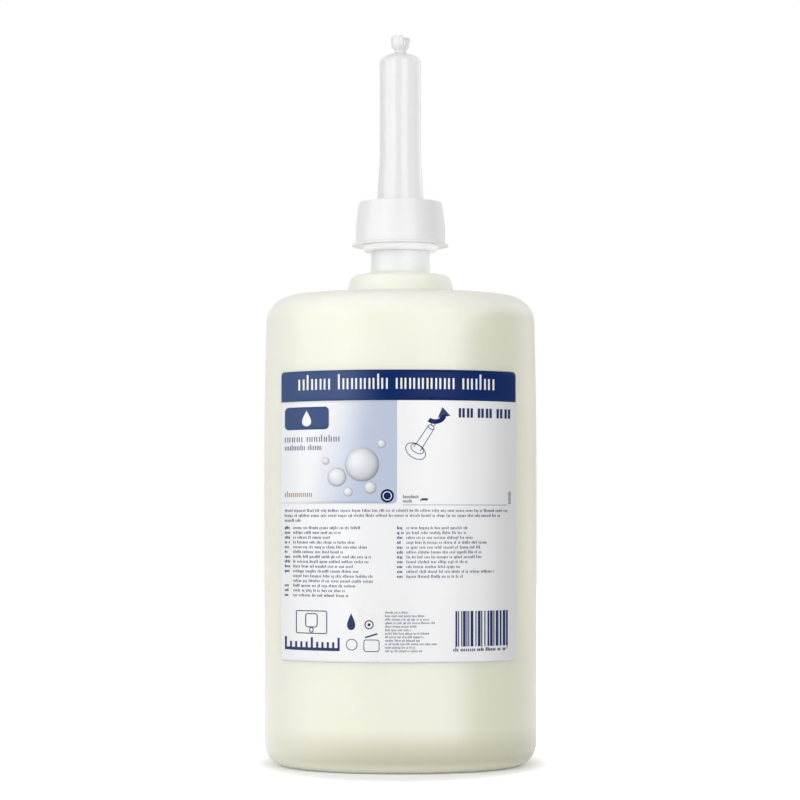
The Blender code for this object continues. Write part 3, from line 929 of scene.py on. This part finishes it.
def inkedDisc(name, centre, radius, material, hollow=0.0, lift=printLift):
    # A disc, or a ring where hollow is more than nothing.
    steps = max(2, int(radius / (0.8 * mm)))
    x, z = discPoints(centre, np.linspace(radius, max(hollow, 0.001 * mm), steps + 1))
    return inkedRings(name, x, z, material, lift, hollow == 0.0)


def inkedLine(name, path, width, material, closed=False):
    # A stroke: the path's points are pushed half the width to each side along their normals.
    path = np.asarray(path, float)
    if closed:
        along = np.roll(path, -1, axis=0) - np.roll(path, 1, axis=0)
    else:
        along = np.gradient(path, axis=0)
    along /= np.linalg.norm(along, axis=1, keepdims=True)
    normal = np.stack([-along[:, 1], along[:, 0]], axis=-1) * width / 2
    x, z = np.stack([path - normal, path + normal]).transpose(2, 0, 1)
    return asFilm(gridMesh(name, frontPoint(x, z, printLift), wrap=closed, material=material))


def makeLabel():
    # One sheet over the front, rounded at its four corners.
    form = labelForm
    sheet = filmPatch(
        "labelSheet", form["left"], form["right"], form["bottom"], form["top"], form["lift"],
        labelFilm, form["thickness"], (form["corner"],) * 4, (form["columns"], form["rows"]),
    )
    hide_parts("label")
    return sheet


makeLabel()

bandForm = {
    "height": 10.1 * mm,
    "corner": 1.1 * mm,
    "edge": 0.05 * mm,  # how far the print stays inside the film's edge
    "panelHeight": 33.9 * mm,
    "panelRight": -1.1 * mm,
    "panelCorner": 1.6 * mm,
}


def makeBandAndPanel():
    # Two printed fields that fill the label's top and its left half below that.
    form, edge = bandForm, bandForm["edge"]
    bandBottom = labelForm["top"] - form["height"]
    band = filmPatch(
        "nameBand", labelForm["left"] + edge, labelForm["right"] - edge, bandBottom,
        labelForm["top"] - edge, printLift, inkNavy, inkThickness, (0, 0, form["corner"], form["corner"]),
    )
    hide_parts("name_band")
    panel = filmPatch(
        "picturePanel", labelForm["left"] + edge, form["panelRight"], bandBottom - form["panelHeight"],
        bandBottom - edge, printLift, panelPrint, inkThickness, (0, form["panelCorner"], 0, 0),
    )
    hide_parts("picture_panel")


makeBandAndPanel()


# Ticks that stand for small print; the shares are of the line's height or of the pitch
tickForm = {
    "letters": (2, 9),
    "pitch": 0.5,
    "low": 0.72,
    "tallOver": 0.78,  # a draw over this gives a tall tick, and one under tailUnder a tail
    "tailUnder": 0.08,
    "tail": 0.2,
    "step": (0.85, 0.3),  # the least step, and how much more it can be
    "wordGap": 0.9,
}


def wordBoxes(random, left, right, base, height, pitch, stroke):
    # A row of upright ticks in word-like groups, from left to right.
    form, boxes, x = tickForm, [], left
    while x < right - pitch:
        letters = int(random.integers(*form["letters"]))
        for _ in range(letters):
            if x > right - stroke:
                break
            tall = random.random()
            top = height if tall > form["tallOver"] else height * form["low"]
            low = -form["tail"] * height if tall < form["tailUnder"] else 0.0
            boxes.append((x, x + stroke, base + low, base + top))
            x += pitch * (form["step"][0] + form["step"][1] * random.random())
        x += pitch * form["wordGap"]
    return boxes


# Where each paragraph lies, how far its lines run and how tall they are, in millimetres
paragraphs = {
    "ingredientLines": {
        "ink": "text", "left": -38.6, "top": 87.6, "pitch": 1.64, "height": 0.95,
        "rights": (35.8, 33.1, -32.8),
    },
    "leftCodes": {
        "ink": "bold", "left": -38.6, "top": 81.9, "pitch": 1.595, "height": 0.95,
        "rights": (-36.7,) * 10 + (None, None) + (-36.9, -36.7, -36.9),
    },
    "leftLines": {
        "ink": "text", "left": -35.6, "top": 81.9, "pitch": 1.595, "height": 0.95,
        "rights": (-12.4, -19.4, -22.9, -15.0, -10.8, -17.9, -9.2, -10.1, -15.2, -13.6, -9.0, -8.6, -14.5,
                   -18.3, -17.2),
    },
    "rightCodes": {
        "ink": "bold", "left": -1.1, "top": 81.9, "pitch": 1.595, "height": 0.95,
        "rights": (1.0, 1.1, 0.9, 1.0, 0.9, 1.2, 1.0, 1.1, 1.0, 1.1, 1.0),
    },
    "rightLines": {
        "ink": "text", "left": 2.0, "top": 81.9, "pitch": 1.595, "height": 0.95,
        "rights": (22.2, 22.0, 24.6, 28.7, 26.6, 26.9, 27.4, 22.8, 19.6, 31.2, 20.9),
    },
    "addressLines": {
        "ink": "text", "left": -5.0, "top": 54.0, "pitch": 1.15, "height": 0.72,
        "rights": (3.2, 8.6, 9.4, 11.6, 5.4, 3.6, 9.8, 7.9, 6.4, 12.6, 4.7, 7.3),
    },
    "barDigits": {
        "ink": "bold", "left": 17.4, "top": 41.9, "pitch": 1.3, "height": 1.2, "rights": (36.2,),
    },
}
inkOf = {"text": inkText, "bold": inkBold}
strokeOf = {"text": 0.235, "bold": 0.31}  # a tick's width as a share of the line's height
paragraphSeed, headingSeed, barSeed = 41, 7, 19


def makeParagraphs():
    random = np.random.default_rng(paragraphSeed)
    for name, block in paragraphs.items():
        boxes = []
        for row, right in enumerate(block["rights"]):
            if right is None:
                continue
            base = (block["top"] - block["height"] - row * block["pitch"]) * mm
            boxes += wordBoxes(
                random, block["left"] * mm, right * mm, base, block["height"] * mm,
                tickForm["pitch"] * mm * block["height"], strokeOf[block["ink"]] * mm * block["height"],
            )
        inkedBoxes(name, boxes, inkOf[block["ink"]])


makeParagraphs()


# Larger words stand as pairs of plain strokes in the rhythm of a word, with no letter among them. Sizes are
# in millimetres; an even line has strokes of one height.
cellShare, lowShare = 0.74, 0.72
headings = {
    "bandWords": {
        "ink": inkWhite, "left": -33.9, "base": 127.0, "height": 5.0, "words": (4, 6, 7, 4),
        "pitch": 2.86, "stroke": 0.60, "gap": 1.9, "lift": aboveInk,
    },
    "titleWords": {
        "ink": inkGrey, "left": -38.6, "base": 109.8, "height": 2.3, "words": (4, 7),
        "pitch": 1.62, "stroke": 0.3, "gap": 1.1, "lift": aboveInk,
    },
    "titleWordsBelow": {
        "ink": inkGrey, "left": -38.6, "base": 107.1, "height": 1.9, "words": (6, 4),
        "pitch": 1.2, "stroke": 0.26, "gap": 0.8, "lift": aboveInk,
    },
    "gradeWord": {
        "ink": inkGold, "left": -38.6, "base": 91.6, "height": 1.9, "words": (7,),
        "pitch": 1.38, "stroke": 0.32, "gap": 0.8, "lift": aboveInk,
    },
    "orderMarks": {
        "ink": inkBold, "left": 19.2, "base": 117.7, "height": 3.1, "words": (2, 2, 2),
        "pitch": 2.72, "stroke": 0.82, "gap": 0.9, "lift": printLift, "even": True,
    },
    "dateMarks": {
        "ink": inkBold, "left": 0.9, "base": 91.1, "height": 1.1, "words": (7,),
        "pitch": 0.74, "stroke": 0.18, "gap": 0.4, "lift": printLift,
    },
    "dateMarksBelow": {
        "ink": inkBold, "left": 0.9, "base": 89.7, "height": 1.0, "words": (4,),
        "pitch": 0.74, "stroke": 0.18, "gap": 0.4, "lift": printLift,
    },
}


def makeHeadings():
    # Each letter is two strokes at the ends of its cell, of which one may be tall.
    random = np.random.default_rng(headingSeed)
    for name, line in headings.items():
        boxes, x, even = [], line["left"], line.get("even", False)
        cell, base, height, stroke = line["pitch"] * cellShare, line["base"], line["height"], line["stroke"]
        for letters in line["words"]:
            for _ in range(letters):
                tall = 1.0 if even or random.random() > lowShare else lowShare
                tops = (tall, lowShare) if random.random() < 0.5 else (lowShare, tall)
                first, second = (1.0, 1.0) if even else tops
                boxes.append((x, x + stroke, base, base + first * height))
                boxes.append((x + cell - stroke, x + cell, base, base + second * height))
                x += line["pitch"]
            x += line["gap"]
        inkedBoxes(name, np.array(boxes) * mm, line["ink"], line["lift"])


makeHeadings()


# A plain navy plaque with a white drop, a round badge, and a generic cluster of bubbles; millimetres
plaqueForm = {
    "left": -38.6, "right": -23.6, "bottom": 113.9, "top": 121.4, "corner": 1.4,
    "dropHalf": 2.2, "dropHeight": 5.3,
}
badgeForm = {"middle": (-4.3, 91.9), "radius": 2.2, "ring": 1.5, "hollow": 1.22}
bubbles = (  # centre x, centre z and radius
    (-12.6, 102.2, 5.6),
    (-20.9, 98.1, 3.1),
    (-9.9, 94.6, 2.0),
    (-17.2, 93.2, 1.5),
    (-24.6, 103.4, 1.2),
    (-6.2, 109.0, 1.4),
)
brightSpot = {"left": 0.32, "up": 0.34, "most": 1.15, "fall": 0.62, "rim": 0.5}


def inkedDrop(name, centre, radius, height, material, lift):
    # A drop: a circle whose top is drawn up to a point by a power of the sine of half the angle.
    t = np.linspace(0, 2 * np.pi, 72, endpoint=False)
    x, z = radius * np.sin(t) * np.sin(t / 2) ** 1.5, height / 2 * np.cos(t)
    rings = np.linspace(1.0, 0.01, 8)[:, None]
    return inkedRings(name, centre[0] + rings * x, centre[1] + rings * z, material, lift, True)


def makePlaque():
    # A rounded field with a drop in its middle.
    form = {key: value * mm for key, value in plaqueForm.items()}
    left, right, bottom, top = (form[key] for key in ("left", "right", "bottom", "top"))
    filmPatch("plaque", left, right, bottom, top, aboveInk, inkNavy, inkThickness, (form["corner"],) * 4)
    middle = ((left + right) / 2, (bottom + top) / 2)
    inkedDrop("plaqueDrop", middle, form["dropHalf"], form["dropHeight"], inkWhite, aboveBoth)


def makeBubbles():
    # shade = how near a point is to the bright spot, up and to the left of the middle, dimmed at the rim by
    # the sixth power of its way out
    spot = brightSpot
    for number, (x, z, radius) in enumerate(bubbles):
        rings = np.linspace(radius, 0.01, max(6, int(radius * 5)))
        xs, zs = discPoints((x, z), rings)
        away = np.hypot((xs - x) / radius + spot["left"], (zs - z) / radius - spot["up"])
        rim = spot["rim"] * (rings[:, None] / radius) ** 6
        shade = np.clip(spot["most"] - spot["fall"] * away - rim, 0, 1)
        made = inkedRings(f"bubble{number}", xs * mm, zs * mm, bubblePrint, aboveInk, True)
        values = np.append(shade.ravel(), shade[-1].mean()).astype(np.float32)
        made.data.attributes.new("shade", "FLOAT", "POINT").data.foreach_set("value", values)


def makeBadge():
    # A disc with a thin ring on it.
    form = badgeForm
    middle = np.array(form["middle"]) * mm
    inkedDisc("badge", middle, form["radius"] * mm, inkNavy, lift=aboveInk)
    inkedDisc("badgeRing", middle, form["ring"] * mm, inkWhite, form["hollow"] * mm, aboveBoth)


makePlaque()
makeBubbles()
makeBadge()
print("panel printed")


def ellipsePath(cx, cz, rx, rz, start=0.0, end=360.0, steps=40):
    # Points (x, z) along an ellipse between two angles.
    t = np.radians(np.linspace(start, end, steps + 1))
    return np.stack([cx + rx * np.cos(t), cz + rz * np.sin(t)], axis=-1)


# Line drawing of the pump with the twist of its tip, in its own axes and millimetres, turned as printed
drawingForm = {
    "foot": (4.9, 106.4), "tilt": -33.0, "stroke": 0.24,
    "lines": {
        "drawnCollar": ellipsePath(0, 0.2, 3.6, 2.3),
        "drawnCollarTop": ellipsePath(0, 1.1, 2.3, 1.3),
        "drawnTubeLeft": [(-1.25, 1.0), (-1.15, 5.0), (-1.05, 9.6)],
        "drawnTubeRight": [(1.25, 1.0), (1.15, 5.0), (1.05, 9.6)],
        "drawnTubeEnd": ellipsePath(0, 9.6, 1.05, 0.6),
        "drawnTip": ellipsePath(0, 11.0, 0.55, 0.9),
    },
    "arrow": ellipsePath(0, 0, 2.7, 1.9, -150, 10, 30),
    "arrowCentre": (11.6, 118.2), "arrowTilt": 7.0, "arrowStroke": 1.5,
    "head": ((0.0, 2.3), (2.1, -1.0), (-2.1, -1.0)), "headTilt": 10.0,
}


def turnedPath(points, foot, tiltDeg):
    # A path in the drawing's own axes, turned about its foot and moved there.
    points = np.asarray(points, float)
    c, s = math.cos(math.radians(tiltDeg)), math.sin(math.radians(tiltDeg))
    x = foot[0] + points[:, 0] * c - points[:, 1] * s
    z = foot[1] + points[:, 0] * s + points[:, 1] * c
    return np.stack([x, z], axis=-1) * mm


def makeDrawing():
    # Thin strokes for the pump, a wide one for the twist, and a flat triangle at its end.
    form = drawingForm
    for name, path in form["lines"].items():
        inkedLine(name, turnedPath(path, form["foot"], form["tilt"]), form["stroke"] * mm, inkText)
    arc = turnedPath(form["arrow"], form["arrowCentre"], form["arrowTilt"])
    inkedLine("twistArrow", arc, form["arrowStroke"] * mm, inkNavy)
    corners = turnedPath(form["head"], arc[-1] / mm, form["headTilt"])
    middle = corners.mean(axis=0)
    x, z = (middle + np.linspace(1.0, 0.02, 4)[:, None, None] * (corners - middle)).transpose(2, 0, 1)
    inkedRings("twistArrowHead", x, z, inkBold, printLift, True).data.shade_flat()


makeDrawing()


# Dotted line, pen, marks at the edge and code bars, in millimetres
smallPrint = {
    "dots": (0.9, 35.2, 0.56), "dotWidth": 0.28, "dotRow": (88.8, 89.05),
    "pen": ((6.9, 9.0, 90.4, 91.1), (6.5, 6.9, 90.2, 90.7)),
    "marks": (89.4, 93.2, 0.42), "markReach": (35.9, 36.8), "markHeight": 0.2,
    "bars": (18.1, 35.2), "barRow": (42.3, 54.0),
    "barWidths": (0.36, 0.36, 0.6, 0.9), "barGaps": (0.24, 0.24, 0.45, 0.7),
    "guards": ((18.1, 18.3), (26.8, 27.0), (35.4, 35.6)), "guardFoot": 41.2,
}


def makeSmallPrint():
    # Rows of equal boxes, and bars whose widths and gaps are drawn at random.
    form = smallPrint
    random = np.random.default_rng(barSeed)
    dots = [(x, x + form["dotWidth"], *form["dotRow"]) for x in np.arange(*form["dots"])]
    inkedBoxes("dottedLine", np.array(dots) * mm, inkBold)
    inkedBoxes("penMark", np.array(form["pen"]) * mm, inkBold)
    side = [(*form["markReach"], z, z + form["markHeight"]) for z in np.arange(*form["marks"])]
    inkedBoxes("edgeMarks", np.array(side) * mm, inkText)
    bars, (x, end) = [], form["bars"]
    while x < end:
        width = float(random.choice(form["barWidths"]))
        bars.append((x, x + width, *form["barRow"]))
        x += width + float(random.choice(form["barGaps"]))
    bars += [(left, right, form["guardFoot"], form["barRow"][0]) for left, right in form["guards"]]
    inkedBoxes("barStripes", np.array(bars) * mm, inkBold)


def framePath(left, right, bottom, top, radius=0.5):
    # The outline of a rounded rectangle: a quarter circle at each corner, with points along the long sides.
    ends = ((right, top), (left, top), (left, bottom), (right, bottom))
    parts = []
    for turn, (x, z) in enumerate(ends):
        cx = x - radius if x == right else x + radius
        cz = z - radius if z == top else z + radius
        parts.append(ellipsePath(cx, cz, radius, radius, 90 * turn, 90 * turn + 90, 6))
    path = np.concatenate(parts)
    pieces = []
    for here, there in zip(path, np.roll(path, -1, axis=0)):
        isLong = np.hypot(*(there - here)) > 1.0
        pieces.append(np.linspace(here, there, 8, endpoint=False) if isLong else here[None])
    return np.concatenate(pieces) * mm


iconForm = {  # millimetres; frames are left, right, bottom, top and sometimes the corner's radius
    "stroke": 0.3,
    "frame": (-34.6, -24.3, 46.5, 53.9), "bottle": (-31.4, -27.5, 48.6, 53.0, 0.8),
    "neck": (-30.0, -28.9, 46.9, 48.4, 0.3),
    "scale": (-38.6, -20.0, 40.8, 41.8), "ticks": 11, "tickPitch": 1.79, "tickWidth": 0.7,
    "tickTops": (43.7, 45.2), "tallEvery": 5,
    "drop": (-16.2, 50.6), "dropHalf": 1.9, "dropHeight": 5.6,
    "round": (-10.3, 49.6), "roundRadii": (1.5, 1.15), "roundDot": 0.5,
    "ring": (-16.0, 43.0), "ringRadii": (1.9, 1.65),
    "jar": (-12.0, -7.0, 40.8, 44.6, 0.7), "jarStroke": 0.25,
    "lid": ((-11.6, 45.4), (-9.6, 46.0), (-7.6, 46.6)), "lidStroke": 0.5,
}


def makeIcons():
    # The refill in a frame, a measuring scale, a drop, two rings and a jar with its lid.
    form = iconForm
    stroke = form["stroke"] * mm
    for name, frame in (("fillFrame", "frame"), ("fillBottle", "bottle"), ("fillNeck", "neck")):
        inkedLine(name, framePath(*form[frame]), stroke, inkBold, closed=True)
    left, _, _, foot = form["scale"]
    boxes = [form["scale"]]
    for tick in range(form["ticks"]):
        x = left + form["tickPitch"] * tick
        boxes.append((x, x + form["tickWidth"], foot, form["tickTops"][tick % form["tallEvery"] == 0]))
    inkedBoxes("fillScale", np.array(boxes) * mm, inkBold)
    drop, middle, ring = (np.array(form[key]) * mm for key in ("drop", "round", "ring"))
    inkedDrop("dropIcon", drop, form["dropHalf"] * mm, form["dropHeight"] * mm, inkBold, printLift)
    inkedDisc("roundIcon", middle, form["roundRadii"][0] * mm, inkBold, form["roundRadii"][1] * mm)
    inkedDisc("roundIconDot", middle, form["roundDot"] * mm, inkBold)
    inkedDisc("ringIcon", ring, form["ringRadii"][0] * mm, inkText, form["ringRadii"][1] * mm)
    inkedLine("jarIcon", framePath(*form["jar"]), form["jarStroke"] * mm, inkText, closed=True)
    inkedLine("jarLid", np.array(form["lid"]) * mm, form["lidStroke"] * mm, inkText)


makeSmallPrint()
makeIcons()
print("label printed")


# Studio
cameraForm = {
    "distance": 925 * mm,
    "height": 84.5 * mm,
    "lens": 120.65,
    "sensor": 36.0,
    "shiftX": -0.0005,
    "shiftY": 0.148,
    "clip": (0.05, 50.0),
}


def makeCamera():
    # A level camera in front; the shift up keeps upright lines upright.
    form = cameraForm
    data = bpy.data.cameras.new("camera")
    data.lens = form["lens"]
    data.sensor_width = form["sensor"]
    data.shift_x = form["shiftX"]
    data.shift_y = form["shiftY"]
    data.clip_start, data.clip_end = form["clip"]
    camera = bpy.data.objects.new("camera", data)
    camera.location = (0, -form["distance"], form["height"])
    camera.rotation_euler = (math.pi / 2, 0, 0)
    bpy.context.scene.collection.objects.link(camera)
    bpy.context.scene.camera = camera


lamps = {
    "keyFront": {"place": (-0.80, -0.92, 0.40), "size": (0.6, 1.2), "watts": 5.4},
    "sideLeft": {"place": (-1.15, -0.30, 0.35), "size": (0.6, 0.9), "watts": 3.2},
    "topBox": {"place": (0.0, -0.10, 1.15), "size": (1.1, 1.1), "watts": 1.8},
    "frontRight": {"place": (0.52, -1.25, 0.40), "size": (0.8, 1.1), "watts": 7.8},
    "rightStrip": {"place": (0.95, -0.95, 0.35), "size": (0.3, 1.0), "watts": 0.5},
    "backRight": {"place": (0.75, 0.60, 0.35), "size": (0.5, 0.8), "watts": 1.0},
}
lampAim = (0.0, 0.0, 0.12)


def makeLamps():
    # Soft boxes that all look at the middle of the refill.
    for name, lamp in lamps.items():
        data = bpy.data.lights.new(name, "AREA")
        data.shape = "RECTANGLE"
        data.size, data.size_y = lamp["size"]
        data.energy = lamp["watts"]
        made = bpy.data.objects.new(name, data)
        made.location = lamp["place"]
        aim = Vector(lampAim) - Vector(lamp["place"])
        made.rotation_euler = aim.to_track_quat("-Z", "Y").to_euler()
        bpy.context.scene.collection.objects.link(made)


def seenRays(tree):
    # 1 for the rays that show the backdrop: from the camera, from a gloss or through something clear.
    path = addNode(tree, "LightPath").outputs
    total = path["Is Camera Ray"]
    for name in ("Is Glossy Ray", "Is Transmission Ray"):
        total = addNode(tree, "Math", {0: total, 1: path[name]}, operation="MAXIMUM").outputs[0]
    return total


worldLight = 0.30
floorLook = {
    "colour": (0.90, 0.90, 0.90),
    "nearLift": 0.14,  # the light that the deepest contact shadow keeps
    "wide": 0.064,  # half axes of the oval in which the shadow fades out
    "deep": 0.090,
    "fadeFrom": 0.62,
    "half": 2.5,
}


def makeWorld():
    # Dim white light on the object, and full white where the backdrop is seen.
    world = bpy.data.worlds.new("studio")
    bpy.context.scene.world = world
    world.use_nodes = True
    tree = world.node_tree
    tree.nodes.clear()
    dim, white = (
        addNode(tree, "Background", {"Color": (1, 1, 1, 1), "Strength": strength}).outputs[0]
        for strength in (worldLight, 1.0)
    )
    mix = addNode(tree, "MixShader", {"Fac": seenRays(tree), 1: dim, 2: white})
    addNode(tree, "OutputWorld", {"Surface": mix.outputs[0]})


def makeFloor():
    # The floor's own diffuse colour keeps the shadow; a little emission for seen rays makes it white.
    look = floorLook
    half = look["half"]
    across = np.linspace(-half, half, 3)
    x, y = np.meshgrid(across, across)
    floor = gridMesh("floor", np.stack([x, y, np.zeros_like(x)], axis=-1))
    material = bpy.data.materials.new("floor")
    material.use_nodes = True
    tree = material.node_tree
    tree.nodes.clear()
    shrink = (1.0 / look["wide"], 1.0 / look["deep"], 0.0)
    oval = addNode(tree, "VectorMath", {0: objectPlace(tree), 1: shrink}, operation="MULTIPLY")
    reach = addNode(tree, "VectorMath", {0: oval.outputs["Vector"]}, operation="LENGTH")
    inputs = {"Value": reach.outputs["Value"], "From Min": look["fadeFrom"], "To Min": look["nearLift"]}
    fade = addNode(tree, "MapRange", inputs, interpolation_type="SMOOTHSTEP")
    strength = addNode(tree, "Math", {0: seenRays(tree), 1: fade.outputs["Result"]}, operation="MULTIPLY")
    glow = addNode(tree, "Emission", {"Strength": strength.outputs[0]})
    diffuse = addNode(tree, "BsdfDiffuse", {"Color": (*look["colour"], 1)})
    both = addNode(tree, "AddShader", {0: diffuse.outputs[0], 1: glow.outputs[0]})
    addNode(tree, "OutputMaterial", {"Surface": both.outputs[0]})
    floor.data.materials.append(material)


makeCamera()
makeLamps()
makeWorld()
makeFloor()
bpy.context.scene.view_settings.view_transform = "Standard"
print("studio made")
